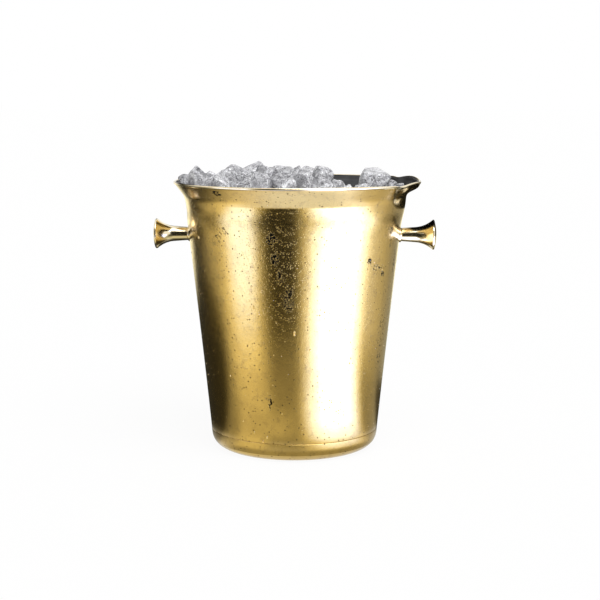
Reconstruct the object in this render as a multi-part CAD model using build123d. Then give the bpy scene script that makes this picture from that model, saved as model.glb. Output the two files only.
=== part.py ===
from build123d import *
import os
from math import asin, atan, ceil, cos, degrees, exp, hypot, log, pi, radians, sin, sqrt, tau

# A single-walled brass ice bucket: a tapered wall with a flared rim and a pressed
# pour lip, soldered onto a dished base pan, with a turned trumpet knob on each side.
# Millimetres. The origin is the centre of the base on the surface it stands on,
# +Z is up and the knobs lie along X, with the pour lip on the +X side.

# ---- Bucket wall ----
height = 232.0            # floor to the top of the plain rim
rim_radius = 104.1        # outside of the rolled edge
neck_radius = 93.4        # outside of the wall where the flare begins
neck_depth = 27.5         # how far below the rim that is
foot_radius = 71.3        # where the wall's outside would meet the floor
waist = 0.6               # how much the wall's line bows inwards at mid height
neck_hollow = 1.0         # how much further the wall draws in under the flare
neck_hollow_depth = 22.5  # depth below the rim at which it does so most
neck_hollow_length = 9.5
wall_thickness = 1.2
rolled_edge_radius = 1.15
flare_depth = 10.0        # depth at which the flare's slope would meet the wall
flare_bend = 1.3          # softness of the bend between wall and flare

# ---- Pour lip ----
lip_half_angle = 28.0     # degrees each side of +X, at the rim
lip_narrowing = 0.5       # share of that angle lost by the lip's lower end
lip_reach = 5.3           # how far its tip stands out past the rim
lip_throat = 5.8          # depth of the channel floor's steepest point
lip_bend = 1.4            # softness of the channel floor
lip_collar_gap = 0.4      # plain wall left between the lip's end and the knob's collar
lip_belly = 2.3           # swelling of the wall below the channel
lip_lift = 1.35           # rise of the lip's two flanks above the rim
lip_roll = 1.45           # lean of the lip, +Y side up and -Y side down
lip_roll_angle = 20.0     # degrees from the tip at which the lean is greatest
pinch = 2.4               # depth of the dents that set the lip off from the rim
pinch_drop = 1.1          # how far the rim dips with them
pinch_angle = 27.0        # degrees each side of +X, at the rim
pinch_width = 4.2         # degrees
pinch_depth = 4.0         # depth below the rim at which a dent is deepest
pinch_length = 7.0

# ---- Base pan ----
pan_thickness = 1.2
pan_corner_radius = 13.0
seam_height = 16.5        # the line where the wall sits on the pan
upstand_height = 7.0      # lap of the pan inside the wall
upstand_thickness = 1.0
lap_clearance = 0.1       # solder gap between the upstand and the wall
joggle_height = 3.0
base_recess = 1.5         # the middle of the base stands clear of the floor
standing_ring_width = 9.0
recess_slope_width = 3.0

# ---- Handle knobs ----
knob_depth = 46.5         # knob axis below the rim
knob_length = 30.4        # collar to the crown of the dome
knob_root_radius = 5.7
knob_stem_radius = 6.6    # where the stem starts to open into the trumpet
knob_stem_length = 12.5
knob_flange_radius = 12.95
knob_flange_thickness = 1.3
knob_dome_height = 1.9
knob_edge_round = 0.5
knob_bore_depth = 14.0

# ---- Collars, seals and screws ----
collar_radius = 6.6
collar_thickness = 1.0    # at the knob's axis
seat_gap = 0.03           # between a seated piece and the wall
hole_clearance = 0.2      # round a screw's shank, on the radius
screw_radius = 2.5
thread_clearance = 0.05
screw_reach = 11.0        # thread inside the knob
screw_head_radius = 4.6
screw_head_height = 2.9
screw_head_round = 1.3
screw_slot_width = 1.2
screw_slot_depth = 1.3
washer_radius = 6.5
washer_thickness = 1.0
gasket_radius = 7.2
gasket_thickness = 1.5    # at the knob's axis

# ---- Resolution of the lofted skin ----
points_round = 80         # points in each section, closer together at the lip
closeness_at_lip = 0.55
lip_section_spacing = 2.0    # longest gap between lofted sections, down the lip's depth
wall_section_spacing = 45.0  # and down the plain wall
bead_section_angle = 41.0    # and in degrees over the rolled edge

knob_height = height - knob_depth
neck_height = height - neck_depth


# ---- The wall's form ----
def bump(value, centre, width):
    return exp(-(((value - centre) / width) ** 2))


def wall_line(z):
    """Outside radius of the tapered wall, which bows in a little and has a shallow neck."""
    share = z / neck_height
    taper = (neck_radius - foot_radius) * share
    bow = 4 * waist * share * (1 - share)
    neck = neck_hollow * bump(z, height - neck_hollow_depth, neck_hollow_length)
    return foot_radius + taper - bow - neck


def wall_slope(z, step=0.5):
    return (wall_line(z + step) - wall_line(z - step)) / (2 * step)


def soft_hinge(depth):
    """0 well below the flare, rising smoothly to 1 at the edge of the sheet."""
    return log(1 + exp((flare_depth - depth) / flare_bend)) / log(1 + exp(flare_depth / flare_bend))


def channel(depth):
    """1 at the lip's tip, falling to 0 below the floor of its channel."""
    return (1 + exp(-lip_throat / lip_bend)) / (1 + exp((depth - lip_throat) / lip_bend))


# The sheet ends where the rolled edge begins. The flare's angle there follows from
# the overhang, so the sheet's edge is placed by two passes of the same sum.
edge_offset = sqrt(rolled_edge_radius**2 - (wall_thickness / 2) ** 2)
edge_start = asin(edge_offset / rolled_edge_radius)
sheet_height = height - 2 * rolled_edge_radius
sheet_radius = rim_radius - 2 * rolled_edge_radius
for _ in range(2):
    flare_angle = atan((sheet_radius - wall_line(sheet_height)) / flare_depth + wall_slope(height))
    sheet_height = (
        height
        - rolled_edge_radius
        - edge_offset * cos(flare_angle)
        - wall_thickness / 2 * sin(flare_angle)
    )
    sheet_radius = (
        rim_radius
        - rolled_edge_radius
        - edge_offset * sin(flare_angle)
        + wall_thickness / 2 * cos(flare_angle)
    )
overhang = sheet_radius - wall_line(sheet_height)

# The lip has died out into the wall just above the knob's collar.
lip_depth = sheet_height - knob_height - collar_radius - lip_collar_gap


def lip_fade(depth):
    """1 at the edge of the sheet, and 0 with no slope at and below lip_depth."""
    return cos(pi / 2 * min(depth / lip_depth, 1)) ** 2


def skin(angle, depth):
    """Point of the outer skin, at an angle in degrees from the lip's tip."""
    z = sheet_height - depth
    side = abs(angle) / (1 - lip_narrowing * min(depth / lip_depth, 1))
    lobe = cos(pi / 2 * min(side / lip_half_angle, 1)) ** 2
    flank = sin(pi * min(side / lip_half_angle, 1)) ** 2
    fade = lip_fade(depth)
    swell = sin(pi * min(depth / lip_depth, 1)) ** 2
    dent = bump(side, pinch_angle, pinch_width) * bump(depth, pinch_depth, pinch_length)
    turn = angle / lip_roll_angle
    lean = lip_roll * turn * exp((1 - turn**2) / 2)
    radius = (
        wall_line(z)
        + overhang * soft_hinge(depth) * (1 - lobe)
        + (overhang + lip_reach) * channel(depth) * lobe * fade
        + lip_belly * swell * lobe
        - pinch * dent * fade
    )
    rise = (lip_lift * flank + lean - pinch_drop * dent) * fade
    turned = radians(angle)
    return Vector(radius * cos(turned), radius * sin(turned), z + rise)


def skin_frame(angle, depth):
    """The skin's point there, its outward normal and its direction up the sheet."""
    step = 0.05
    point = skin(angle, depth)
    along = skin(angle + step, depth) - skin(angle - step, depth)
    up = (skin(angle, depth - step) - skin(angle, depth + step)).normalized()
    return point, along.cross(up).normalized(), up


def section_angles():
    """Angles round the bucket from the side opposite the lip, denser at the lip."""
    for index in range(points_round):
        even = tau * index / points_round - pi
        yield degrees(even - closeness_at_lip * sin(even))


def closed_wire(points):
    return Wire([Edge.make_spline(points, periodic=True)])


def outer_section(depth):
    return closed_wire([skin(angle, depth) for angle in section_angles()])


def inner_section(depth):
    inner = []
    for angle in section_angles():
        point, normal, _ = skin_frame(angle, depth)
        inner.append(point - normal * wall_thickness)
    return closed_wire(inner)


def inner_foot_section(depth):
    """The lowest inner section is level with the outer one, so the sheet's end is flat."""
    radius = wall_line(sheet_height - depth) - wall_thickness * hypot(1, wall_slope(seam_height))
    z = sheet_height - depth
    angles = [radians(angle) for angle in section_angles()]
    return closed_wire([Vector(radius * cos(a), radius * sin(a), z) for a in angles])


def edge_section(turn):
    """Section of the rolled edge, turned in degrees from the outer skin over the top."""
    around = radians(turn) - edge_start
    points = []
    for angle in section_angles():
        point, normal, up = skin_frame(angle, 0)
        centre = point - normal * (wall_thickness / 2) + up * edge_offset
        reach = normal * cos(around) + up * sin(around)
        points.append(centre + reach * rolled_edge_radius)
    return closed_wire(points)


def even_steps(first, last, spacing):
    """Even steps from first to last, no further apart than spacing."""
    spans = ceil((last - first) / spacing)
    return [first + (last - first) * step / spans for step in range(spans + 1)]


def make_bucket_wall():
    foot_depth = sheet_height - seam_height
    lip_depths = even_steps(0, lip_depth, lip_section_spacing)
    wall_depths = even_steps(lip_depth, foot_depth, wall_section_spacing)
    inner_foot = inner_foot_section(foot_depth)
    bead_turn = 180 + 2 * degrees(edge_start)
    bead_angles = even_steps(0, bead_turn, bead_section_angle)
    skins = [
        [outer_section(depth) for depth in lip_depths],
        [outer_section(depth) for depth in wall_depths],
        [inner_section(depth) for depth in lip_depths],
        [inner_section(depth) for depth in wall_depths[:-1]] + [inner_foot],
        [edge_section(angle) for angle in bead_angles],
        [outer_section(foot_depth), inner_foot],
    ]
    faces = [face for sections in skins for face in Shell.make_loft(sections).faces()]
    return Solid(Shell(faces))


# ---- Base pan ----
def make_base_pan():
    """Dished pan: a standing ring round a recessed middle, and a lap inside the wall."""
    lean = hypot(1, wall_slope(seam_height))
    seam_radius = wall_line(seam_height)
    lap_outside = seam_radius - (wall_thickness + lap_clearance) * lean
    lap_inside = lap_outside - upstand_thickness * lean
    lap_top = seam_height + upstand_height
    lap_rise = wall_line(lap_top) - seam_radius
    ring_outside = foot_radius - pan_corner_radius
    ring_inside = ring_outside - standing_ring_width
    recess_edge = ring_inside - recess_slope_width
    joggle_foot = seam_height - joggle_height
    floor_top = pan_thickness
    inner_corner = pan_corner_radius - pan_thickness
    with BuildSketch(Plane.XZ) as section:
        with BuildLine():
            FilletPolyline(
                (0, base_recess),
                (recess_edge, base_recess),
                (ring_inside, 0),
                (foot_radius, 0),
                (seam_radius, seam_height),
                radius=[recess_slope_width, recess_slope_width, pan_corner_radius],
            )
            Polyline(
                (seam_radius, seam_height),
                (lap_outside, seam_height),
                (lap_outside + lap_rise, lap_top),
                (lap_inside + lap_rise, lap_top),
                (lap_inside, seam_height),
            )
            FilletPolyline(
                (lap_inside, seam_height),
                (wall_line(joggle_foot) - pan_thickness * lean, joggle_foot),
                (foot_radius - pan_thickness, floor_top),
                (ring_inside, floor_top),
                (recess_edge, base_recess + floor_top),
                (0, base_recess + floor_top),
                radius=[joggle_height / 3, inner_corner, recess_slope_width, recess_slope_width],
            )
            Line((0, base_recess + floor_top), (0, base_recess))
        make_face()
    return revolve(section.sketch, axis=Axis.Z)


# ---- Handles ----
def turned(profile):
    """Solid of revolution about Z of a closed outline of (radius, length) edges."""
    return revolve(Plane.XZ * make_face(profile), axis=Axis.Z)


def on_knob_axis(solid, start):
    """Lays a solid made along +Z on the +X knob's axis, from x = start outwards."""
    return Pos(start, 0, knob_height) * Rot(0, 90, 0) * solid


def wall_envelope(offset):
    """Everything inside the plain wall's outer surface moved outwards by offset."""
    low = knob_height - 2 * collar_radius
    high = knob_height + 2 * collar_radius
    reach = offset * hypot(1, wall_slope(knob_height))
    heights = even_steps(low, high, collar_radius)
    line = Spline(*[(wall_line(z) + reach, z) for z in heights])
    outline = line + Polyline(line @ 1, (0, high), (0, low), line @ 0)
    return turned(outline)


wall_face = wall_line(knob_height)
wall_back = wall_face - wall_thickness * hypot(1, wall_slope(knob_height))
knob_seat = wall_face + collar_thickness
washer_seat = wall_back - gasket_thickness
head_seat = washer_seat - washer_thickness


def make_knob():
    """Trumpet: a slightly tapered stem that opens in one arc to a flange with a domed end."""
    flange_back = knob_length - knob_dome_height - knob_flange_thickness
    flange_front = flange_back + knob_flange_thickness
    stem = Line((knob_root_radius, 0), (knob_stem_radius, knob_stem_length))
    trumpet = TangentArc(
        (knob_stem_radius, knob_stem_length), (knob_flange_radius, flange_back), tangent=stem % 1
    )
    edge = Line((knob_flange_radius, flange_back), (knob_flange_radius, flange_front))
    crown_radius = (knob_flange_radius**2 + knob_dome_height**2) / (2 * knob_dome_height)
    crown = RadiusArc((knob_flange_radius, flange_front), (0, knob_length), -crown_radius)
    axis = Polyline((0, knob_length), (0, 0), (knob_root_radius, 0))
    knob = turned(stem + trumpet + edge + crown + axis)
    rims = knob.edges().filter_by(GeomType.CIRCLE).filter_by(
        lambda circle: circle.radius > knob_flange_radius - knob_edge_round / 10
    )
    knob = fillet(rims, min(knob_edge_round, 0.45 * knob_flange_thickness))
    bore = Cylinder(
        screw_radius + thread_clearance,
        knob_bore_depth,
        align=(Align.CENTER, Align.CENTER, Align.MIN),
    )
    return on_knob_axis(knob - bore, knob_seat)


def make_collar():
    """Ring whose back is cut to the wall, so that the knob's seat is upright."""
    blank = Cylinder(
        collar_radius,
        collar_radius + collar_thickness,
        align=(Align.CENTER, Align.CENTER, Align.MAX),
    )
    hole = Cylinder(screw_radius + hole_clearance, 4 * collar_radius)
    return on_knob_axis(blank - hole, knob_seat) - wall_envelope(seat_gap)


def make_gasket():
    """Sealing pad: flat under the washer, and shaped to the inside of the wall."""
    blank = Cylinder(
        gasket_radius,
        gasket_radius + gasket_thickness,
        align=(Align.CENTER, Align.CENTER, Align.MIN),
    )
    hole = Cylinder(screw_radius + hole_clearance, 4 * gasket_radius)
    inside = wall_envelope(-wall_thickness - seat_gap)
    return on_knob_axis(blank - hole, washer_seat) & inside


def make_washer():
    ring = Circle(washer_radius) - Circle(screw_radius + hole_clearance)
    return on_knob_axis(extrude(ring, washer_thickness), head_seat)


def make_screw():
    """Slotted pan-head screw, driven from inside the bucket."""
    head = Cylinder(
        screw_head_radius, screw_head_height, align=(Align.CENTER, Align.CENTER, Align.MAX)
    )
    crown = head.edges().filter_by(GeomType.CIRCLE).sort_by(Axis.Z)[0]
    head = fillet(crown, min(screw_head_round, 0.9 * screw_head_height))
    slot = Pos(0, 0, -screw_head_height) * Box(
        2 * screw_head_radius,
        screw_slot_width,
        2 * screw_slot_depth,
    )
    shank_length = knob_seat - head_seat + screw_reach
    shank = Cylinder(screw_radius, shank_length, align=(Align.CENTER, Align.CENTER, Align.MIN))
    return on_knob_axis(head - slot + shank, head_seat)


def opposite(solid):
    return mirror(solid, about=Plane.YZ)


def main():
    wall = make_bucket_wall()
    hole = on_knob_axis(
        Cylinder(
            screw_radius + hole_clearance,
            4 * wall_thickness,
            align=(Align.CENTER, Align.CENTER, Align.CENTER),
        ),
        (wall_face + wall_back) / 2,
    )
    wall = wall - hole - opposite(hole)
    knob = make_knob()
    collar = make_collar()
    gasket = make_gasket()
    washer = make_washer()
    screw = make_screw()
    parts = {
        "bucket_wall": wall,
        "base_pan": make_base_pan(),
        "knob_right": knob,
        "knob_left": opposite(knob),
        "knob_collar_right": collar,
        "knob_collar_left": opposite(collar),
        "knob_gasket_right": gasket,
        "knob_gasket_left": opposite(gasket),
        "knob_washers": Compound([washer, opposite(washer)]),
        "knob_screws": Compound([screw, opposite(screw)]),
    }
    os.makedirs("parts", exist_ok=True)
    for name, part in parts.items():
        part.label = name
        export_step(part, f"parts/{name}.step")


main()
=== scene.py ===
import math
import random

import bmesh
import bpy
from mathutils import Euler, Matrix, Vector


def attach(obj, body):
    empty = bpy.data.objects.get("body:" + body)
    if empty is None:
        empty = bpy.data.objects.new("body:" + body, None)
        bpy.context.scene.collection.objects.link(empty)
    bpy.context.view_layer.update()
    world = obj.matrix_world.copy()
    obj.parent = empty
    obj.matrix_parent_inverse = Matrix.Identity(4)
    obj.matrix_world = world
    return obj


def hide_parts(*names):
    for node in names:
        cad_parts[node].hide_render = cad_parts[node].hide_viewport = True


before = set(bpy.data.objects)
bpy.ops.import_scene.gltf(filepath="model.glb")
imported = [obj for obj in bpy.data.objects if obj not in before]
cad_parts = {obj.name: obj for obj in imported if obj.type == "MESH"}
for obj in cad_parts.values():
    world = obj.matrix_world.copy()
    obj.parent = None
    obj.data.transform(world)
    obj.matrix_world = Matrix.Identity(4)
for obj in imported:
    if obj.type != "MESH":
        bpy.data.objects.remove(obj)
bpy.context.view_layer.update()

# A brass ice bucket with a pour lip and two trumpet knobs, filled with ice, in a pale
# studio. Metres. The bucket's form follows the CAD part's own dimensions; its mesh is
# denser and smoother. Ice and water drops are set dressing, not part of the bucket.

MM = 0.001

# ---- Bucket wall, as in the CAD part ----
HEIGHT = 232.0 * MM
RIM_RADIUS = 104.1 * MM
NECK_RADIUS = 93.4 * MM
NECK_DEPTH = 27.5 * MM
FOOT_RADIUS = 71.3 * MM
WAIST = 0.6 * MM
NECK_HOLLOW = 1.0 * MM
NECK_HOLLOW_DEPTH = 22.5 * MM
NECK_HOLLOW_LENGTH = 9.5 * MM
WALL_THICKNESS = 1.2 * MM
ROLLED_EDGE_RADIUS = 1.15 * MM
FLARE_DEPTH = 10.0 * MM
FLARE_BEND = 1.3 * MM

# ---- Pour lip ----
LIP_HALF_ANGLE = 28.0
LIP_NARROWING = 0.5
LIP_REACH = 5.3 * MM
LIP_THROAT = 5.8 * MM
LIP_BEND = 1.4 * MM
LIP_COLLAR_GAP = 0.4 * MM
LIP_BELLY = 2.3 * MM
LIP_LIFT = 1.35 * MM
LIP_ROLL = 1.45 * MM
LIP_ROLL_ANGLE = 20.0
PINCH = 2.4 * MM
PINCH_DROP = 1.1 * MM
PINCH_ANGLE = 27.0
PINCH_WIDTH = 4.2
PINCH_DEPTH = 4.0 * MM
PINCH_LENGTH = 7.0 * MM

# ---- Base pan ----
PAN_THICKNESS = 1.2 * MM
PAN_CORNER_RADIUS = 13.0 * MM
SEAM_HEIGHT = 16.5 * MM
UPSTAND_HEIGHT = 7.0 * MM
UPSTAND_THICKNESS = 1.0 * MM
LAP_CLEARANCE = 0.1 * MM
BASE_RECESS = 1.5 * MM
STANDING_RING_WIDTH = 9.0 * MM
RECESS_SLOPE_WIDTH = 3.0 * MM
SEAM_ROUND = 0.45 * MM

# ---- Knobs and collars ----
KNOB_DEPTH = 46.5 * MM
KNOB_LENGTH = 30.4 * MM
KNOB_ROOT_RADIUS = 5.7 * MM
KNOB_STEM_RADIUS = 6.6 * MM
KNOB_STEM_LENGTH = 12.5 * MM
KNOB_FLANGE_RADIUS = 12.95 * MM
KNOB_FLANGE_THICKNESS = 1.3 * MM
KNOB_DOME_HEIGHT = 1.9 * MM
KNOB_EDGE_ROUND = 0.5 * MM
COLLAR_RADIUS = 6.6 * MM
COLLAR_THICKNESS = 1.0 * MM

KNOB_HEIGHT = HEIGHT - KNOB_DEPTH
NECK_HEIGHT = HEIGHT - NECK_DEPTH

# ---- Mesh density ----
ANGLES_ROUND = 288
CLOSENESS_AT_LIP = 0.5
LIP_ROWS = 64
WALL_ROWS = 44
BEAD_ROWS = 10
LATHE_STEPS = 192
KNOB_STEPS = 96
ON_AXIS = 1e-7


# ================= The wall's form =================
def bump_curve(value, centre, width):
    return math.exp(-(((value - centre) / width) ** 2))


def wall_line(z):
    """Outside radius of the tapered wall, which bows in a little and has a shallow neck."""
    share = z / NECK_HEIGHT
    taper = (NECK_RADIUS - FOOT_RADIUS) * share
    bow = 4 * WAIST * share * (1 - share)
    neck = NECK_HOLLOW * bump_curve(z, HEIGHT - NECK_HOLLOW_DEPTH, NECK_HOLLOW_LENGTH)
    return FOOT_RADIUS + taper - bow - neck


def wall_slope(z, step=0.5 * MM):
    return (wall_line(z + step) - wall_line(z - step)) / (2 * step)


def soft_hinge(depth):
    """0 well below the flare, rising smoothly to 1 at the edge of the sheet."""
    top = math.log(1 + math.exp(FLARE_DEPTH / FLARE_BEND))
    return math.log(1 + math.exp((FLARE_DEPTH - depth) / FLARE_BEND)) / top


def channel(depth):
    """1 at the lip's tip, falling to 0 below the floor of its channel."""
    return (1 + math.exp(-LIP_THROAT / LIP_BEND)) / (1 + math.exp((depth - LIP_THROAT) / LIP_BEND))


def edge_of_sheet():
    """Height and radius of the sheet's edge, where the rolled edge begins."""
    offset = math.sqrt(ROLLED_EDGE_RADIUS**2 - (WALL_THICKNESS / 2) ** 2)
    height = HEIGHT - 2 * ROLLED_EDGE_RADIUS
    radius = RIM_RADIUS - 2 * ROLLED_EDGE_RADIUS
    for _ in range(2):
        flare = math.atan((radius - wall_line(height)) / FLARE_DEPTH + wall_slope(HEIGHT))
        height = (
            HEIGHT
            - ROLLED_EDGE_RADIUS
            - offset * math.cos(flare)
            - WALL_THICKNESS / 2 * math.sin(flare)
        )
        radius = (
            RIM_RADIUS
            - ROLLED_EDGE_RADIUS
            - offset * math.sin(flare)
            + WALL_THICKNESS / 2 * math.cos(flare)
        )
    return height, radius, offset


SHEET_HEIGHT, SHEET_RADIUS, EDGE_OFFSET = edge_of_sheet()
OVERHANG = SHEET_RADIUS - wall_line(SHEET_HEIGHT)
LIP_DEPTH = SHEET_HEIGHT - KNOB_HEIGHT - COLLAR_RADIUS - LIP_COLLAR_GAP


def skin(angle, depth):
    """Point of the outer skin, at an angle in degrees from the lip's tip."""
    z = SHEET_HEIGHT - depth
    side = abs(angle) / (1 - LIP_NARROWING * min(depth / LIP_DEPTH, 1))
    lobe = math.cos(math.pi / 2 * min(side / LIP_HALF_ANGLE, 1)) ** 2
    flank = math.sin(math.pi * min(side / LIP_HALF_ANGLE, 1)) ** 2
    fade = math.cos(math.pi / 2 * min(depth / LIP_DEPTH, 1)) ** 2
    swell = math.sin(math.pi * min(depth / LIP_DEPTH, 1)) ** 2
    dent = bump_curve(side, PINCH_ANGLE, PINCH_WIDTH)
    dent *= bump_curve(depth, PINCH_DEPTH, PINCH_LENGTH)
    turn = angle / LIP_ROLL_ANGLE
    lean = LIP_ROLL * turn * math.exp((1 - turn**2) / 2)
    radius = (
        wall_line(z)
        + OVERHANG * soft_hinge(depth) * (1 - lobe)
        + (OVERHANG + LIP_REACH) * channel(depth) * lobe * fade
        + LIP_BELLY * swell * lobe
        - PINCH * dent * fade
    )
    rise = (LIP_LIFT * flank + lean - PINCH_DROP * dent) * fade
    turned = math.radians(angle)
    return Vector((radius * math.cos(turned), radius * math.sin(turned), z + rise))


def skin_frame(angle, depth, step=0.05):
    """The skin's point there, its outward normal and its direction up the sheet."""
    along = skin(angle + step, depth) - skin(angle - step, depth)
    up = skin(angle, depth - step * MM) - skin(angle, depth + step * MM)
    up.normalize()
    return skin(angle, depth), along.cross(up).normalized(), up


def section_angles():
    """Angles round the bucket from the side opposite the lip, denser at the lip."""
    for index in range(ANGLES_ROUND):
        even = math.tau * index / ANGLES_ROUND - math.pi
        yield math.degrees(even - CLOSENESS_AT_LIP * math.sin(even))


# ================= Mesh helpers =================
def add_mesh(name, points, faces):
    mesh = bpy.data.meshes.new(name)
    mesh.from_pydata(points, [], faces)
    mesh.polygons.foreach_set("use_smooth", [True] * len(faces))
    mesh.update()
    made = bpy.data.objects.new(name, mesh)
    bpy.context.scene.collection.objects.link(made)
    return made


def ring_faces(rows, columns, first=0):
    """Quads between rows of points that each run once round, numbered from first."""
    faces = []
    for row in range(rows - 1):
        for column in range(columns):
            beside = (column + 1) % columns
            low, high = first + row * columns, first + (row + 1) * columns
            faces.append((low + column, low + beside, high + beside, high + column))
    return faces


def lathe(name, outline, place, steps):
    """Surface of revolution of an outline of (radius, length) points, closed at radius 0.

    place turns a radius, a length along the axis and an angle into a point.
    """
    points, faces, rings = [], [], []
    for radius, length in outline:
        if radius < ON_AXIS:
            points.append(place(0, length, 0))
            rings.append([len(points) - 1])
        else:
            rings.append(range(len(points), len(points) + steps))
            points += [place(radius, length, math.tau * step / steps) for step in range(steps)]
    for low, high in zip(rings, rings[1:]):
        for step in range(steps):
            beside = (step + 1) % steps
            corners = [
                low[step % len(low)],
                low[beside % len(low)],
                high[beside % len(high)],
                high[step % len(high)],
            ]
            faces.append(tuple(dict.fromkeys(corners)))
    return add_mesh(name, points, faces)


def upright(radius, length, angle):
    return (radius * math.cos(angle), radius * math.sin(angle), length)


def round_corners(corners, radii, steps):
    """Outline through the corners, with the inner ones rounded by arcs of these radii."""
    outline = [corners[0]]
    for before, corner, after, radius in zip(corners, corners[1:], corners[2:], radii):
        if not radius:
            outline.append(corner)
            continue
        here = Vector(corner)
        back = (Vector(before) - here).normalized()
        ahead = (Vector(after) - here).normalized()
        half = back.angle(ahead) / 2
        middle = here + (back + ahead).normalized() * radius / math.sin(half)
        start = here + back * radius / math.tan(half) - middle
        end = here + ahead * radius / math.tan(half) - middle
        sweep = start.angle_signed(end)
        for step in range(steps + 1):
            angle = -sweep * step / steps
            cos, sin = math.cos(angle), math.sin(angle)
            turned = Vector((start.x * cos - start.y * sin, start.x * sin + start.y * cos))
            outline.append(tuple(middle + turned))
    outline.append(corners[-1])
    return outline


def between(first, last, steps):
    return [first + (last - first) * step / steps for step in range(steps + 1)]


# ================= Materials =================
class Nodes:
    """A small builder of node materials: each call adds a node and returns its output."""

    def __init__(self, name):
        self.material = bpy.data.materials.new(name)
        self.material.use_nodes = True
        self.tree = self.material.node_tree
        self.tree.nodes.clear()
        self.output = self.tree.nodes.new("ShaderNodeOutputMaterial")

    def add(self, kind, output=0, inputs=(), **settings):
        node = self.tree.nodes.new(kind)
        for key, value in settings.items():
            setattr(node, key, value)
        for key, value in dict(inputs).items():
            if isinstance(value, bpy.types.NodeSocket):
                self.tree.links.new(value, node.inputs[key])
            else:
                node.inputs[key].default_value = value
        return node.outputs[output]

    def place(self, scale=(1, 1, 1)):
        """Object coordinates in metres, stretched by scale."""
        where = self.add("ShaderNodeTexCoord", "Object")
        return self.add("ShaderNodeMapping", inputs={"Vector": where, "Scale": scale})

    def noise(self, scale, detail=4.0, rough=0.5, vector=None, distortion=0.0):
        inputs = {
            "Scale": scale,
            "Detail": detail,
            "Roughness": rough,
            "Distortion": distortion,
            "Vector": vector or self.place(),
        }
        return self.add("ShaderNodeTexNoise", "Fac", inputs)

    def spots(self, scale):
        """Distance to the nearest of scattered points, and each point's random colour."""
        inputs = {"Scale": scale, "Randomness": 1.0, "Vector": self.place()}
        node = self.add("ShaderNodeTexVoronoi", "Distance", inputs).node
        return node.outputs["Distance"], node.outputs["Color"]

    def ramp(self, value, low, high, from_value=0.0, to_value=1.0, smooth=True):
        kind = "SMOOTHSTEP" if smooth else "LINEAR"
        inputs = {
            "Value": value,
            "From Min": low,
            "From Max": high,
            "To Min": from_value,
            "To Max": to_value,
        }
        return self.add("ShaderNodeMapRange", 0, inputs, interpolation_type=kind)

    def maths(self, kind, first, second=0.0):
        return self.add("ShaderNodeMath", 0, {0: first, 1: second}, operation=kind)

    def mix(self, share, first, second, blend="MIX"):
        node = self.tree.nodes.new("ShaderNodeMix")
        node.data_type = "RGBA"
        node.blend_type = blend
        for key, value in (("Factor", share), ("A", first), ("B", second)):
            socket = next(s for s in node.inputs if s.name == key and s.enabled)
            if isinstance(value, bpy.types.NodeSocket):
                self.tree.links.new(value, socket)
            else:
                socket.default_value = value
        return next(s for s in node.outputs if s.enabled)

    def bump(self, height, strength, distance, normal=None):
        inputs = {"Height": height, "Strength": strength, "Distance": distance}
        if normal:
            inputs["Normal"] = normal
        return self.add("ShaderNodeBump", 0, inputs)

    def principled(self, **inputs):
        named = {key.replace("_", " "): value for key, value in inputs.items()}
        return self.add("ShaderNodeBsdfPrincipled", 0, named)

    def finish(self, shader):
        self.tree.links.new(shader, self.output.inputs["Surface"])
        return self.material


def rgb(red, green, blue):
    return (red, green, blue, 1.0)


# Zones on the aged wall where the brass turns near-black in blotches: azimuth from the front
# in degrees and height in mm, half their spread in each, and how strongly they show.
NEAR_BLACK_MARKS = [
    (-9, 190, 3.5, 6, 1.0), (-7, 174, 3.0, 7, 0.9), (-4, 160, 3.0, 8, 0.7),
    (0, 140, 3.5, 12, 0.8), (47, 169, 2.0, 3, 1.0), (55, 163, 6.0, 3, 0.7),
    (60, 157, 2.0, 3, 1.0), (67, 98, 6.0, 34, 0.5), (-66, 118, 5, 14, 0.6),
    (-59, 96, 4, 9, 0.5), (65, 188, 1.6, 12, 0.7), (75, 166, 1.8, 15, 0.75),
    (-12, 52, 1.2, 10, 0.7), (-36, 226, 3.0, 2.5, 1.0), (-62, 150, 10, 50, 0.5),
    (-38, 192, 6, 8, 0.5), (140, 120, 20, 50, 0.4), (-130, 90, 16, 40, 0.45),
    (100, 60, 8, 20, 0.5),
]
WET_ZONES = [
    (-8, 168, 20, 75, 1.0), (-62, 165, 26, 80, 0.9), (62, 150, 22, 80, 0.6),
    (150, 170, 50, 70, 0.8), (-150, 150, 40, 80, 0.7),
]


def zones(n, table, core=0.3):
    """How much each point lies in the zones of a table, from its azimuth and height."""
    where = n.add("ShaderNodeSeparateXYZ", "Z", {"Vector": n.place()}).node
    back = n.maths("MULTIPLY", where.outputs["Y"], -1.0)
    azimuth = n.maths("ARCTAN2", where.outputs["X"], back)
    total = None
    for turn, height, wide, tall, strength in table:
        aside = n.maths("SUBTRACT", azimuth, math.radians(turn))
        aside = n.maths("DIVIDE", aside, math.radians(wide))
        above = n.maths("SUBTRACT", where.outputs["Z"], height * MM)
        above = n.maths("DIVIDE", above, tall * MM)
        far = n.maths("ADD", n.maths("MULTIPLY", aside, aside), n.maths("MULTIPLY", above, above))
        mark = n.ramp(far, core, 1.4, strength, 0.0)
        total = mark if total is None else n.maths("MAXIMUM", total, mark)
    return total


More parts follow.
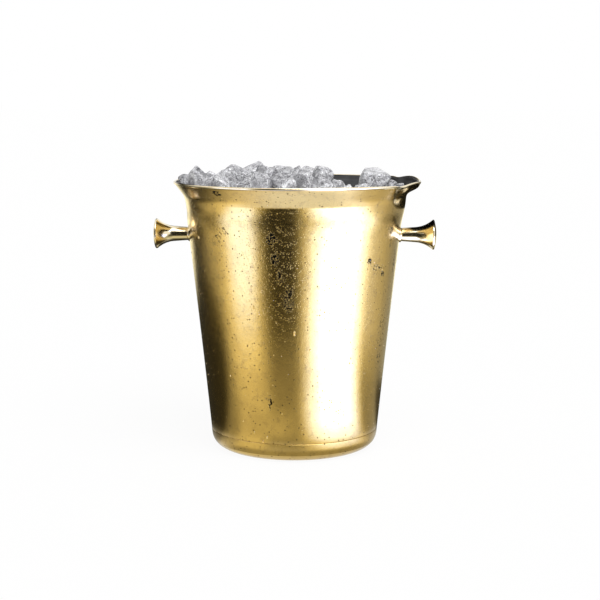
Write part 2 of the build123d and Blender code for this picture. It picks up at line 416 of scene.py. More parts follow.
def aged_brass():
    """Brass with a thin uneven patina, near-black blotches, pits, faint runs and a film of dew."""
    n = Nodes("aged_brass")
    cloud = n.noise(22, 5, 0.6)
    mottle = n.noise(170, 6, 0.65)
    grain = n.noise(1100, 3, 0.6)
    runs = n.noise(1.0, 4, 0.55, vector=n.place((130, 130, 7)))
    metal = n.mix(n.ramp(cloud, 0.35, 0.7), rgb(0.79, 0.53, 0.12), rgb(0.63, 0.41, 0.08))
    metal = n.mix(n.ramp(mottle, 0.5, 0.75, 0.0, 0.55), metal, rgb(0.36, 0.22, 0.04))
    metal = n.mix(n.ramp(runs, 0.60, 0.8, 0.0, 0.3), metal, rgb(0.34, 0.21, 0.05))
    blotch = n.noise(420, 5, 0.6, distortion=0.6)
    marked = n.maths("ADD", n.maths("MULTIPLY", zones(n, NEAR_BLACK_MARKS), 0.27), blotch)
    marked = n.ramp(marked, 0.70, 0.74)
    metal = n.mix(marked, metal, rgb(0.02, 0.014, 0.006))
    far, kind = n.spots(520)
    size = n.ramp(n.add("ShaderNodeSeparateColor", 0, {"Color": kind}), 0.72, 1.0, 0.0, 0.34)
    speck = n.ramp(n.maths("SUBTRACT", size, far), 0.0, 0.05)
    metal = n.mix(n.maths("MULTIPLY", speck, 0.85), metal, rgb(0.04, 0.025, 0.01))
    bare = n.maths("SUBTRACT", 1.0, n.maths("MAXIMUM", marked, speck))
    rough = n.ramp(mottle, 0.3, 0.8, 0.17, 0.28, smooth=False)
    rough = n.maths("ADD", rough, n.ramp(cloud, 0.3, 0.8, -0.03, 0.04, smooth=False))
    dew_far, dew_kind = n.spots(1000)
    dew_size = n.ramp(n.add("ShaderNodeSeparateColor", 1, {"Color": dew_kind}), 0.35, 1.0, 0.0, 0.5)
    dew = n.ramp(n.maths("SUBTRACT", dew_size, dew_far), 0.0, 0.3)
    wet = n.ramp(zones(n, WET_ZONES, 0.1), 0.0, 1.0, 0.05, 0.3, smooth=False)
    normal = n.bump(grain, 0.08, 0.0003)
    normal = n.bump(mottle, 0.10, 0.0010, normal)
    normal = n.bump(n.maths("MAXIMUM", speck, marked), 0.3, 0.0004, normal)
    normal = n.bump(dew, wet, 0.0004, normal)
    return n.finish(
        n.principled(
            Base_Color=metal,
            Metallic=1.0,
            Roughness=rough,
            Normal=normal,
            Coat_Weight=bare,
            Coat_Roughness=0.16,
            Coat_IOR=1.8,
            Coat_Normal=normal,
        )
    )


def polished_brass():
    """Turned and polished brass, with the faintest rings and a little tarnish."""
    n = Nodes("polished_brass")
    cloud = n.noise(60, 4, 0.55)
    turning = n.noise(1.0, 2, 0.5, vector=n.place((2600, 60, 60)))
    metal = n.mix(n.ramp(cloud, 0.4, 0.75), rgb(0.95, 0.84, 0.60), rgb(0.84, 0.69, 0.42))
    rough = n.ramp(cloud, 0.3, 0.8, 0.10, 0.2, smooth=False)
    normal = n.bump(turning, 0.05, 0.0002)
    return n.finish(
        n.principled(Base_Color=metal, Metallic=1.0, Roughness=rough, Normal=normal)
    )


def tin_lining_with_painted_shade():
    """Tin plating inside the bucket, finely brushed round it, in greys far darker than tin's own:
    painted shade for the inside of the bucket.
    """
    n = Nodes("tin_lining_with_painted_shade")
    brushed = n.noise(1.0, 3, 0.6, vector=n.place((14, 14, 1500)))
    cloud = n.noise(30, 4, 0.6)
    # Greys far darker than tin: painted shade inside the bucket.
    metal = n.mix(n.ramp(cloud, 0.35, 0.7), rgb(0.10, 0.10, 0.102), rgb(0.05, 0.05, 0.052))
    metal = n.mix(n.ramp(brushed, 0.45, 0.75, 0.0, 0.5), metal, rgb(0.02, 0.02, 0.021))
    rough = n.ramp(brushed, 0.3, 0.8, 0.3, 0.5, smooth=False)
    normal = n.bump(brushed, 0.25, 0.0004)
    return n.finish(
        n.principled(Base_Color=metal, Metallic=1.0, Roughness=rough, Normal=normal)
    )


def plain_steel():
    """Stainless steel of the screws and washers."""
    n = Nodes("plain_steel")
    cloud = n.noise(300, 4, 0.6)
    metal = n.mix(cloud, rgb(0.66, 0.66, 0.64), rgb(0.46, 0.46, 0.45))
    rough = n.ramp(cloud, 0.3, 0.8, 0.2, 0.4, smooth=False)
    normal = n.bump(n.noise(2500, 2), 0.1, 0.0002)
    return n.finish(
        n.principled(Base_Color=metal, Metallic=1.0, Roughness=rough, Normal=normal)
    )


def black_rubber():
    n = Nodes("black_rubber")
    cloud = n.noise(500, 4, 0.6)
    colour = n.mix(cloud, rgb(0.02, 0.02, 0.02), rgb(0.05, 0.05, 0.05))
    normal = n.bump(cloud, 0.2, 0.0003)
    rough = n.ramp(cloud, 0.3, 0.8, 0.6, 0.85, smooth=False)
    return n.finish(n.principled(Base_Color=colour, Roughness=rough, Normal=normal))


def clear_ice():
    """Wet broken ice: part clear, part white with trapped air, with dark fine cracks, near-black
    painted shade in its hollows and a white painted highlight on its edges.
    """
    n = Nodes("clear_ice")
    cloud = n.noise(70, 5, 0.65, distortion=0.8)
    fine = n.noise(420, 5, 0.7, distortion=1.5)
    surface = n.noise(160, 4, 0.6)
    veins = n.noise(150, 5, 0.7, distortion=2.0)
    normal = n.bump(surface, 0.35, 0.003)
    normal = n.bump(fine, 0.3, 0.0012, normal)
    clear = n.principled(
        Base_Color=rgb(0.98, 0.985, 0.99),
        Roughness=n.ramp(surface, 0.3, 0.8, 0.02, 0.10, smooth=False),
        IOR=1.31,
        Transmission_Weight=1.0,
        Normal=normal,
    )
    white = n.mix(n.ramp(fine, 0.38, 0.62), rgb(0.98, 0.98, 1.0), rgb(0.74, 0.74, 0.78))
    crack = n.ramp(n.maths("ABSOLUTE", n.maths("SUBTRACT", veins, 0.5)), 0.0, 0.055, 0.97, 0.0)
    white = n.mix(crack, white, rgb(0.06, 0.055, 0.065))
    pocket = n.ramp(n.noise(230, 4, 0.7, distortion=2.5), 0.58, 0.62, 0.0, 0.97)
    white = n.mix(pocket, white, rgb(0.05, 0.045, 0.055))
    # Pointiness: near-black in the hollows and creases is painted shade, and pure white on the
    # sharp edges is a painted highlight.
    edge = n.add("ShaderNodeNewGeometry", "Pointiness")
    white = n.mix(n.ramp(edge, 0.46, 0.41, 0.0, 0.85), white, rgb(0.08, 0.08, 0.09))
    white = n.mix(n.ramp(edge, 0.51, 0.56), white, rgb(1.0, 1.0, 1.0))
    frosted = n.principled(
        Base_Color=white, Roughness=0.22, Normal=normal, Coat_Weight=0.3, Coat_Roughness=0.05
    )
    share = n.ramp(cloud, 0.38, 0.60, 0.45, 0.96)
    return n.finish(n.add("ShaderNodeMixShader", 0, {0: share, 1: clear, 2: frosted}))


def water():
    n = Nodes("water")
    ripple = n.bump(n.noise(400, 2), 0.05, 0.0003)
    return n.finish(
        n.principled(
            Base_Color=rgb(1, 1, 1), Roughness=0.0, IOR=1.33, Transmission_Weight=1.0, Normal=ripple
        )
    )


# ================= The bucket =================
def make_wall(brass, lining, bright_edge):
    angles = list(section_angles())
    lip_depths = between(0, LIP_DEPTH, LIP_ROWS)
    foot_depth = SHEET_HEIGHT - SEAM_HEIGHT - SEAM_ROUND
    depths = lip_depths + between(LIP_DEPTH, foot_depth, WALL_ROWS)[1:]
    frames = [[skin_frame(angle, depth) for angle in angles] for depth in depths]
    outer = [[point for point, _, _ in row] for row in frames]
    inner = [[point - normal * WALL_THICKNESS for point, normal, _ in row] for row in frames]
    # The foot is eased by a quarter round, then runs in to the inner skin.
    foot = []
    for share in (1 / 3, 2 / 3, 1):
        turn = share * math.pi / 2
        inward, down = SEAM_ROUND * (1 - math.cos(turn)), SEAM_ROUND * math.sin(turn)
        foot.append([point - normal * inward - up * down for point, normal, up in frames[-1]])
    foot.append(
        [point - up * SEAM_ROUND - normal * WALL_THICKNESS for point, normal, up in frames[-1]]
    )
    start = -math.asin(EDGE_OFFSET / ROLLED_EDGE_RADIUS)
    bead = []
    for turn in between(start, math.pi - start, BEAD_ROWS):
        row = []
        for point, normal, up in frames[0]:
            centre = point - normal * (WALL_THICKNESS / 2) + up * EDGE_OFFSET
            outward = normal * math.cos(turn) + up * math.sin(turn)
            row.append(centre + outward * ROLLED_EDGE_RADIUS)
        bead.append(row)
    rows = foot[::-1] + outer[::-1][:-1] + bead + inner[1:] + [foot[-1]]
    points = [point for row in rows for point in row]
    wall = add_mesh("wall", points, ring_faces(len(rows), ANGLES_ROUND))
    wall.data.materials.append(brass)
    wall.data.materials.append(lining)
    wall.data.materials.append(bright_edge)
    # The bead is polished, but its last two rows face inward and belong to the lining.
    first_bead = (len(foot) + len(outer) - 1) * ANGLES_ROUND
    first_inner = first_bead + (len(bead) - 3) * ANGLES_ROUND
    for index, face in enumerate(wall.data.polygons):
        if index >= first_inner:
            face.material_index = 1
        elif index >= first_bead:
            face.material_index = 2
    return wall


def make_base_pan(brass, lining):
    lean = math.hypot(1, wall_slope(SEAM_HEIGHT))
    seam_radius = wall_line(SEAM_HEIGHT)
    lap_outside = seam_radius - (WALL_THICKNESS + LAP_CLEARANCE) * lean
    lap_inside = lap_outside - UPSTAND_THICKNESS * lean
    lap_rise = wall_line(SEAM_HEIGHT + UPSTAND_HEIGHT) - seam_radius
    lap_top = SEAM_HEIGHT + UPSTAND_HEIGHT
    ring_outside = FOOT_RADIUS - PAN_CORNER_RADIUS
    ring_inside = ring_outside - STANDING_RING_WIDTH
    recess_edge = ring_inside - RECESS_SLOPE_WIDTH
    outside = round_corners(
        [
            (0, BASE_RECESS),
            (recess_edge, BASE_RECESS),
            (ring_inside, 0),
            (FOOT_RADIUS, 0),
            (seam_radius, SEAM_HEIGHT),
            (lap_outside, SEAM_HEIGHT),
            (lap_outside + lap_rise, lap_top),
        ],
        [RECESS_SLOPE_WIDTH, RECESS_SLOPE_WIDTH, PAN_CORNER_RADIUS, SEAM_ROUND, 0],
        16,
    )
    inside = round_corners(
        [
            (lap_outside + lap_rise, lap_top),
            (lap_inside + lap_rise, lap_top),
            (lap_inside, SEAM_HEIGHT),
            (FOOT_RADIUS - PAN_THICKNESS, PAN_THICKNESS),
            (ring_inside, PAN_THICKNESS),
            (recess_edge, BASE_RECESS + PAN_THICKNESS),
            (0, BASE_RECESS + PAN_THICKNESS),
        ],
        [0, UPSTAND_THICKNESS, PAN_CORNER_RADIUS, RECESS_SLOPE_WIDTH, RECESS_SLOPE_WIDTH],
        12,
    )
    pan = lathe("base", outside[:-1] + inside, upright, LATHE_STEPS)
    pan.data.materials.append(brass)
    pan.data.materials.append(lining)
    for face in pan.data.polygons:
        face.material_index = int(face.index >= (len(outside) - 2) * LATHE_STEPS)
    return pan


def arc_through(start, direction, end, steps=28):
    """Points of the arc that leaves start in that direction and reaches end."""
    start, end = Vector(start), Vector(end)
    side = Vector((-direction[1], direction[0])).normalized()
    chord = end - start
    radius = chord.length_squared / (2 * chord.dot(side))
    centre = start + side * radius
    sweep = 2 * math.asin(chord.length / (2 * abs(radius))) * math.copysign(1, radius)
    arm = start - centre
    points = []
    for angle in between(0, sweep, steps):
        cos, sin = math.cos(angle), math.sin(angle)
        points.append((centre.x + arm.x * cos - arm.y * sin, centre.y + arm.x * sin + arm.y * cos))
    return points


def knob_outline():
    """(radius, length) from the knob's seat along its stem and trumpet to the dome."""
    back = KNOB_LENGTH - KNOB_DOME_HEIGHT - KNOB_FLANGE_THICKNESS
    front = back + KNOB_FLANGE_THICKNESS
    stem_end = (KNOB_STEM_RADIUS, KNOB_STEM_LENGTH)
    slope = (KNOB_STEM_RADIUS - KNOB_ROOT_RADIUS, KNOB_STEM_LENGTH)
    root = [(0, 0), (KNOB_ROOT_RADIUS - 0.2 * MM, 0), (KNOB_ROOT_RADIUS, 0.2 * MM)]
    stem = [(KNOB_ROOT_RADIUS + slope[0] * s, slope[1] * s) for s in between(0.1, 0.9, 8)]
    trumpet = arc_through(stem_end, slope, (KNOB_FLANGE_RADIUS, back))
    flange = round_corners(
        [trumpet[-2], (KNOB_FLANGE_RADIUS, back), (KNOB_FLANGE_RADIUS, front), (0, front + 1 * MM)],
        [0.35 * MM, KNOB_EDGE_ROUND],
        6,
    )
    crown_radius = (KNOB_FLANGE_RADIUS**2 + KNOB_DOME_HEIGHT**2) / (2 * KNOB_DOME_HEIGHT)
    widest = math.asin((KNOB_FLANGE_RADIUS - 1.1 * KNOB_EDGE_ROUND) / crown_radius)
    dome = [
        (crown_radius * math.sin(a), KNOB_LENGTH - crown_radius * (1 - math.cos(a)))
        for a in between(widest, 0, 20)
    ]
    return root + stem + trumpet[:-2] + flange[:-1] + dome


def make_knob(name, side, brass):
    seat = wall_line(KNOB_HEIGHT) + COLLAR_THICKNESS

    def along_x(radius, length, angle):
        y, z = radius * math.cos(angle), radius * math.sin(angle)
        return (side * (seat + length), side * y, KNOB_HEIGHT + z)

    knob = lathe(name, knob_outline(), along_x, KNOB_STEPS)
    knob.data.materials.append(brass)
    return knob


def make_collar(name, side, brass):
    """The ring under a knob: its back follows the wall, its front is flat and eased."""
    seat = wall_line(KNOB_HEIGHT) + COLLAR_THICKNESS
    ease = 0.35 * MM
    outline = round_corners(
        [(3 * MM, 0), (COLLAR_RADIUS, 0), (COLLAR_RADIUS, -COLLAR_THICKNESS)], [ease], 5
    )

    def on_wall(radius, length, angle):
        y, z = radius * math.cos(angle), KNOB_HEIGHT + radius * math.sin(angle)
        x = seat + length
        if length <= -COLLAR_THICKNESS:
            x = math.sqrt(wall_line(z) ** 2 - y**2) - 0.2 * MM
        return (side * x, side * y, z)

    collar = lathe(name, outline, on_wall, KNOB_STEPS)
    collar.data.materials.append(brass)
    return collar


def dress(node, material):
    """Gives a CAD node that shows as it is a better material."""
    node.data.materials.clear()
    node.data.materials.append(material)


brass = aged_brass()
polish = polished_brass()
tin = tin_lining_with_painted_shade()
steel = plain_steel()
rubber = black_rubber()

pieces = [
    (make_wall(brass, tin, polish), "bucket_wall", "brass_body"),
    (make_base_pan(brass, tin), "base_pan", "brass_body"),
    (make_knob("right_knob", 1, polish), "knob_right", "brass_polished"),
    (make_knob("left_knob", -1, polish), "knob_left", "brass_polished"),
    (make_collar("right_collar", 1, polish), "knob_collar_right", "brass_polished"),
    (make_collar("left_collar", -1, polish), "knob_collar_left", "brass_polished"),
]
for piece, node, slot in pieces:
    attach(piece, "root")
    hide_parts(node)
dress(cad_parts["knob_screws"], steel)
dress(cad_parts["knob_washers"], steel)
dress(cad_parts["knob_gasket_right"], rubber)
dress(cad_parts["knob_gasket_left"], rubber)


# ================= Ice and water, as set dressing =================
LARGE_LUMP = 24 * MM
ROUGH_ON_SMALL, ROUGH_ON_LARGE = 0.08, 0.03
ICE_INSET = 2.2 * MM  # from the outer skin: the sheet and a little room
DROPS_FROM, DROPS_TO = 24, 222


def room_at(z):
    """Greatest radius that ice can reach inside the bucket at a height."""
    if z >= SHEET_HEIGHT:
        return RIM_RADIUS - 4 * MM
    return wall_line(z) + OVERHANG * soft_hinge(SHEET_HEIGHT - z) - ICE_INSET


def ice_lump(name, size, place, turn, seed, material, texture=None):
    """A broken cube of ice: the hull of scattered points, with its edges melted round.

    A texture roughens its surface.
    """
    random.seed(seed)
    half = [size * random.uniform(0.44, 0.56) for _ in range(3)]
    turned = Euler(turn).to_matrix()
    form = bmesh.new()
    corners = [(x, y, z) for x in (-1, 1) for y in (-1, 1) for z in (-1, 1)]
    scattered = [[c * random.uniform(0.45, 1.05) for c in corner] for corner in corners]
    for axis in range(3):
        for side in (-1, 1):
            for _ in range(2):
                bulge = [random.uniform(-0.7, 0.7) for _ in range(3)]
                bulge[axis] = side * random.uniform(0.75, 1.1)
                scattered.append(bulge)
    for point in scattered:
        where = turned @ Vector([point[a] * half[a] for a in range(3)]) + Vector(place)
        reach = math.hypot(where.x, where.y)
        room = room_at(where.z)
        if reach > room:
            where.x, where.y = where.x * room / reach, where.y * room / reach
        form.verts.new(where)
    hull = bmesh.ops.convex_hull(form, input=form.verts)
    inside = [item for item in hull["geom_interior"] if isinstance(item, bmesh.types.BMVert)]
    bmesh.ops.delete(form, geom=inside, context="VERTS")
    flat = math.radians(9)
    bmesh.ops.dissolve_limit(form, angle_limit=flat, verts=form.verts, edges=form.edges)
    mesh = bpy.data.meshes.new(name)
    form.to_mesh(mesh)
    form.free()
    mesh.materials.append(material)
    lump = bpy.data.objects.new(name, mesh)
    bpy.context.scene.collection.objects.link(lump)
    melt = lump.modifiers.new("melt", "BEVEL")
    melt.width = 0.05 * size
    melt.segments = 3
    melt.harden_normals = True
    if texture:
        finer = lump.modifiers.new("finer", "SUBSURF")
        finer.subdivision_type = "SIMPLE"
        finer.levels = finer.render_levels = 3
        ragged = lump.modifiers.new("ragged", "DISPLACE")
        ragged.texture = texture
        ragged.texture_coords = "GLOBAL"
        ragged.strength = (ROUGH_ON_SMALL if size < LARGE_LUMP else ROUGH_ON_LARGE) * size


def fill_with_ice():
    material = clear_ice()
    broken = bpy.data.textures.new("broken_ice", "CLOUDS")
    broken.noise_scale = 5 * MM
    broken.noise_depth = 2
    # The lumps that show above the rim, from left to right: x, y, z and size in mm.
    shown = [
        (-93, -8, 231, 13), (-92, 12, 229, 13), (-86, 6, 232, 17), (-80, -22, 229, 18),
        (-73, -6, 229, 17), (-74, 24, 228, 18), (-50, -10, 232, 30), (-60, -38, 227, 20),
        (-58, 26, 229, 22), (-36, 24, 232, 24), (-40, -46, 228, 18), (-22, -6, 232, 22),
        (-26, -34, 229, 19), (-10, 16, 232, 22), (-9, -22, 231, 20), (-4, -50, 227, 19),
        (2, 0, 233, 18), (12, 14, 232, 20), (10, -30, 231, 18), (25, -4, 235, 21),
        (24, -38, 228, 18), (34, 8, 226, 14), (38, -26, 225, 15), (-58, -14, 230, 15),
        (69, -12, 232, 25), (58, -36, 224, 17), (83, -10, 227, 13), (78, 12, 225, 15),
        (48, -32, 222, 16), (50, 4, 214, 18), (-28, 6, 236, 12), (-14, -8, 238, 10),
        (8, -12, 237, 11), (-66, 4, 231, 10), (90, 2, 226, 9), (-70, -34, 230, 11),
    ]
    # Some of them lean a set way, in radians about the line of sight.
    tilted = {2: 0.75, 6: 0.70, 19: 0.35, 24: 0.1}
    random.seed(11)
    for number, (x, y, z, size) in enumerate(shown):
        turn = [random.uniform(-0.5, 0.5), random.uniform(-0.5, 0.5), random.uniform(0, 3)]
        if number in tilted:
            turn = (0.1, tilted[number], 0.35)
        place = (x * MM, y * MM, z * MM)
        seed = 50 + number
        ice_lump(f"ice_{number:02d}", size * MM, place, turn, seed, material, broken)
        random.seed(100 + number)
    # The lumps under them, in loose layers down into the bucket, with a gap at the back right.
    number = len(shown)
    for layer in range(3):
        z = 214 - 20 * layer
        for ring, count in ((0, 1), (26, 6), (52, 12), (74, 17)):
            for step in range(count):
                random.seed(1000 + number)
                angle = math.tau * (step + random.random() * 0.4) / count
                reach = ring + random.uniform(-4, 4)
                place = Vector((reach * math.cos(angle), reach * math.sin(angle), z))
                place.z += random.uniform(-5, 5)
                turn = [random.uniform(0, 3) for _ in range(3)]
                size = random.uniform(20, 25) * MM
                number += 1
                if layer == 0 and 34 < place.x < 62 and place.y > -20:
                    continue
                ice_lump(f"ice_{number:02d}", size, place * MM, turn, number, material)


def skin_at(azimuth, z):
    """Point and outward normal of the outer skin, at an azimuth from the front and a height."""
    angle = (azimuth - 90 + 180) % 360 - 180
    point, normal, _ = skin_frame(angle, SHEET_HEIGHT - z)
    return point, normal


def add_drop(points, faces, place, normal, width, tall, bulge):
    """Adds one drop, a low dome that hangs fuller towards its foot, to a mesh in the making."""
    side = Vector((0, 0, 1)).cross(normal).normalized()
    up = normal.cross(side)
    first = len(points)
    around, rings = 12, 4
    for ring in range(rings):
        share = ring / rings
        out = math.sqrt(1 - share**2)
        for step in range(around):
            turn = math.tau * step / around
            low = math.sin(turn) < 0
            stretch = tall * (0.9 if low else 1.15)
            across = width * math.cos(turn) * out * (1.0 if low else 0.92)
            along = stretch * math.sin(turn) * out - tall * 0.15 * share
            points.append(place + side * across + up * along + normal * (bulge * share))
    points.append(place + normal * bulge - up * tall * 0.15)
    faces += ring_faces(rings, around, first)
    top = first + (rings - 1) * around
    for step in range(around):
        faces.append((top + step, top + (step + 1) % around, len(points) - 1))


def wet_the_wall():
    """Drops of condensed water: many small ones, and some that have run down the wall."""
    points, faces = [], []
    random.seed(5)
    # Patches of small drops: azimuth and its spread, height and its spread, and how many.
    patches = [
        (-10, 13, 158, 40, 70), (-64, 16, 150, 48, 70), (25, 26, 150, 50, 60),
        (68, 12, 110, 40, 80), (-30, 30, 60, 34, 40), (180, 70, 140, 50, 240),
        (-30, 40, 216, 8, 60),
    ]
    for azimuth, wide, height, tall, count in patches:
        for _ in range(count):
            turn = random.gauss(azimuth, wide)
            z = min(max(random.gauss(height, tall), DROPS_FROM), DROPS_TO) * MM
            width = (0.18 + 0.34 * random.random() ** 3) * MM
            point, normal = skin_at(turn, z)
            add_drop(points, faces, point, normal, width, width * 1.1, width * 0.6)
    # Larger drops and runs: azimuth, height, half width, half height and bulge in mm.
    large = [
        (-18, 16.9, 0.9, 1.1, 0.6), (-18, 5.5, 1.0, 1.2, 0.6), (-15, 22, 0.8, 1.4, 0.5),
        (-32, 34, 0.8, 0.9, 0.5), (8, 29, 0.6, 0.6, 0.4), (-20, 133, 0.9, 1.6, 0.7),
        (-17, 128, 0.8, 1.2, 0.6), (-15, 146, 0.9, 1.0, 0.7), (47, 171, 0.8, 1.4, 0.6),
        (51, 168, 0.9, 1.1, 0.6), (55, 165, 0.8, 1.0, 0.6), (59, 160, 0.8, 1.5, 0.6),
        (-66, 193, 1.0, 1.2, 0.8), (-58, 187, 1.1, 1.3, 0.8), (3, 112, 0.9, 2.4, 0.6),
        (12, 98, 0.7, 1.0, 0.5), (38, 84, 0.6, 0.8, 0.4), (-40, 72, 0.7, 0.9, 0.5),
        (95, 120, 1.0, 1.6, 0.7), (120, 150, 0.9, 1.2, 0.6), (160, 90, 1.0, 2.0, 0.7),
        (-110, 140, 0.9, 1.4, 0.6), (-140, 60, 0.9, 1.2, 0.6), (-95, 100, 0.8, 1.6, 0.6),
    ]
    for azimuth, height, width, tall, bulge in large:
        point, normal = skin_at(azimuth, max(height, 18) * MM)
        add_drop(points, faces, point, normal, width * MM, tall * MM, bulge * MM)
    drops = add_mesh("drops", points, faces)
    drops.data.materials.append(water())


fill_with_ice()
wet_the_wall()


# ================= Studio =================
def seen_directly(tree):
    """1 for camera, glossy and transmitted rays, which should see the white background."""
    path = tree.nodes.new("ShaderNodeLightPath")
    total = path.outputs["Is Camera Ray"]
    for kind in ("Is Glossy Ray", "Is Transmission Ray"):
        node = tree.nodes.new("ShaderNodeMath")
        node.operation = "MAXIMUM"
        tree.links.new(total, node.inputs[0])
        tree.links.new(path.outputs[kind], node.inputs[1])
        total = node.outputs[0]
    return total


def make_world():
    world = bpy.data.worlds.new("studio")
    bpy.context.scene.world = world
    world.use_nodes = True
    tree = world.node_tree
    background = tree.nodes["Background"]
    background.inputs["Color"].default_value = (1, 1, 1, 1)
    strength = tree.nodes.new("ShaderNodeMapRange")
    tree.links.new(seen_directly(tree), strength.inputs["Value"])
    strength.inputs["To Min"].default_value = 0.6
    strength.inputs["To Max"].default_value = 1.0
    tree.links.new(strength.outputs[0], background.inputs["Strength"])


def make_floor():
    reach = 30.0
    n = Nodes("pale_floor")
    paper = n.mix(n.noise(40, 3), rgb(0.82, 0.82, 0.82), rgb(0.8, 0.8, 0.8))
    diffuse = n.add("ShaderNodeBsdfDiffuse", 0, {"Color": paper})
    white = n.add("ShaderNodeEmission", 0, {"Color": rgb(1, 1, 1), "Strength": 1.0})
    share = n.maths("MULTIPLY", seen_directly(n.tree), 0.93)
    material = n.finish(n.add("ShaderNodeMixShader", 0, {0: share, 1: diffuse, 2: white}))
    corners = [(-reach, -reach, 0), (reach, -reach, 0), (reach, reach, 0), (-reach, reach, 0)]
    floor = add_mesh("floor", corners, [(0, 1, 2, 3)])
    floor.data.materials.append(material)


WARM, COOL, NEUTRAL = (1.0, 0.92, 0.62), (0.76, 0.91, 1.6), (1.0, 1.0, 0.95)
HARD = 0.0001  # an edge that doesn't fade
LAYER_LIFT = 1.0 * MM
FAR = 2.4
WALL_CARD_RADIUS = 1.7
FLARE_CARD_HEIGHT = 213.5 * MM
LIP_SHADE_HEIGHT = 207.0 * MM
LIP_GLINT_HEIGHT = 208.5 * MM


def card(name, near, far, radii, heights, strength, soft, tint=WARM):
    """A studio card that only reflections see: level, or upright on a curve.

    near and far are its azimuths at its first and second radius and height, in degrees from
    the front, positive to the right. soft is how far its two side edges, its near edge and
    its far edge fade, as shares of its size. Its dim parts are warm and its bright ones have
    its tint.
    """
    across, along = 60, 30
    points, cover = [], []
    for j in range(along + 1):
        v = j / along
        first = near[0] + (far[0] - near[0]) * v
        last = near[1] + (far[1] - near[1]) * v
        radius = radii[0] + (radii[1] - radii[0]) * v
        z = heights[0] + (heights[1] - heights[0]) * v
        for i in range(across + 1):
            u = i / across
            azimuth = math.radians(first + (last - first) * u)
            points.append((radius * math.sin(azimuth), -radius * math.cos(azimuth), z))
            edge = 1.0
            for share in (u / soft[0], (1 - u) / soft[1], v / soft[2], (1 - v) / soft[3]):
                share = min(max(share, 0.0), 1.0)
                edge *= share * share * (3 - 2 * share)
            cover.append(edge)
    row = across + 1
    faces = [
        (j * row + i, j * row + i + 1, (j + 1) * row + i + 1, (j + 1) * row + i)
        for j in range(along)
        for i in range(across)
    ]
    made = add_mesh(name, points, faces)
    attribute = made.data.attributes.new("cover", "FLOAT", "POINT")
    attribute.data.foreach_set("value", cover)
    n = Nodes(name)
    fade = n.add("ShaderNodeAttribute", "Fac", attribute_name="cover")
    colour = n.mix(n.ramp(fade, 0.2 / strength, 1.6 / strength), rgb(*WARM), rgb(*tint))
    light = n.add("ShaderNodeEmission", 0, {"Color": colour, "Strength": strength})
    clear = n.add("ShaderNodeBsdfTransparent", 0)
    made.data.materials.append(
        n.finish(n.add("ShaderNodeMixShader", 0, {0: fade, 1: clear, 2: light}))
    )
    for kind in ("camera", "diffuse", "transmission", "volume_scatter", "shadow"):
        setattr(made, f"visible_{kind}", False)


def flat_card(name, layer, near, far, radii, strength, soft, tint=WARM):
    """A card on the floor. A higher layer covers a lower one."""
    lift = layer * LAYER_LIFT
    card(name, near, far, radii, (lift, lift), strength, soft, tint)


def level_card(name, height, sides, radii, strength, soft, tint=WARM):
    """A small card close under the rim, which only the flare and the lip see."""
    card(name, sides, sides, radii, (height, height), strength, soft, tint)


def wall_card(name, sides, heights, strength, soft):
    radii = (WALL_CARD_RADIUS, WALL_CARD_RADIUS)
    card(name, sides, sides, radii, heights, strength, soft)


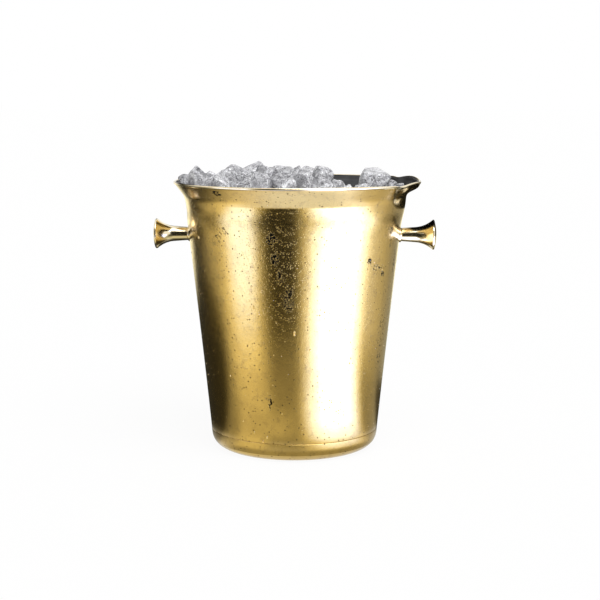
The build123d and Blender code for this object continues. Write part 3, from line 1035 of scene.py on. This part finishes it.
def make_cards():
    """What the brass reflects.

    The floor is grey all round, with one broad white card to the right and a softer one to
    the left. Dark cards stand for the unlit room between them and at both edges, and weaker
    ones light the foot and the back. Close under the rim, one card lights the flare, a dark
    one shades the underside of the pour lip and a tiny one gives the lip its glint.
    """
    ring = (-180, 180)
    flat_card("grey_ring", 1, ring, ring, (0.03, 2.6), 0.34, (HARD, HARD, HARD, HARD))
    flat_card("dark_front", 2, (-38, 12), (-44, 12), (0.24, FAR), 0.02, (0.2, 0.2, 0.08, HARD))
    flat_card("fill_left", 3, (-55, -14), (-150, -26), (0.05, 1.0), 0.78, (0.35, 0.3, 0.02, 0.3))
    flat_card(
        "bright_left", 4, (-78, -29), (-104, -36), (0.16, FAR), 2.4, (0.55, 0.25, 0.22, 0.2), COOL
    )
    flat_card(
        "fill_right", 3, (50, 138), (50, 150), (0.22, FAR), 0.9, (0.1, 0.65, 0.1, 0.2), COOL
    )
    flat_card(
        "bright_right", 4, (3, 86), (15, 121), (0.07, FAR), 5.0, (0.45, 0.38, 0.02, 0.3), COOL
    )
    flat_card("dark_left", 2, (-176, -63), (-178, -150), (0.04, FAR), 0.03, (0.1, 0.14, 0.02, 0.2))
    flat_card("dark_right", 2, (108, 178), (118, 178), (0.05, 0.32), 0.05, (0.2, 0.1, 0.1, 0.4))
    flat_card("near_front", 5, (-52, 14), (-52, 14), (0.105, 0.17), 0.6, (0.3, 0.4, 0.15, 0.3))
    flat_card("contact", 6, (-60, 100), (-60, 100), (0.045, 0.085), 0.4, (0.12, 0.3, 0.1, 0.3))
    flat_card("back_light", 4, (-172, -132), (-172, -136), (0.6, FAR), 1.4, (0.35, 0.4, 0.4, 0.2))
    flat_card(
        "back_light_right", 5, (158, 186), (150, 192), (0.16, FAR), 1.4, (0.4, 0.4, 0.35, 0.2)
    )
    level_card(
        "flare_card", FLARE_CARD_HEIGHT, (-64, 74), (0.0965, 0.116), 1.15,
        (0.45, 0.4, 0.05, 0.6), COOL,
    )
    level_card(
        "lip_shade", LIP_SHADE_HEIGHT, (78, 145), (0.097, 0.230), 0.001, (0.08, 0.2, 0.02, 0.3)
    )
    card(
        "lip_glint", (82, 87), (84, 90), (0.106, 0.118), (LIP_GLINT_HEIGHT, LIP_GLINT_HEIGHT), 2.0,
        (0.3, 0.3, 0.3, 0.3), NEUTRAL,
    )
    wall_card("back_flag", (-178, -118), (0.45, 1.45), 0.02, (0.1, 0.2, 0.1, 0.2))
    wall_card("dark_wall", (-42, 12), (0, 1.9), 0.02, (0.1, 0.1, HARD, 0.2))
    wall_card("dark_side", (-140, -72), (0, 0.75), 0.04, (0.2, 0.2, HARD, 0.3))
    wall_card("dim_side", (96, 175), (0, 0.75), 0.12, (0.2, 0.2, HARD, 0.3))


def make_lights():
    lamp = bpy.data.lights.new("key", "SUN")
    lamp.energy = 2.2  # soft, from above, the front and a little to the right
    lamp.angle = math.radians(50)
    key = bpy.data.objects.new("key", lamp)
    key.rotation_euler = (math.radians(28), math.radians(18), 0)
    bpy.context.scene.collection.objects.link(key)


def make_camera():
    """The viewpoint: a little to the right of the front, above the rim, looking down."""
    distance = 1.1925
    height = 304.4 * MM
    azimuth = math.radians(3)
    pitch = math.radians(8.431)
    data = bpy.data.cameras.new("camera")
    data.sensor_width = 36
    data.lens = 82.84
    data.shift_x = 0.0093  # sets the bucket a little left of the middle
    data.clip_start, data.clip_end = 0.01, 100
    camera = bpy.data.objects.new("camera", data)
    camera.location = (distance * math.sin(azimuth), -distance * math.cos(azimuth), height)
    camera.rotation_euler = (math.pi / 2 - pitch, 0, azimuth)
    bpy.context.scene.collection.objects.link(camera)
    bpy.context.scene.camera = camera


make_world()
make_floor()
make_cards()
make_lights()
make_camera()
bpy.context.scene.view_settings.view_transform = "Standard"
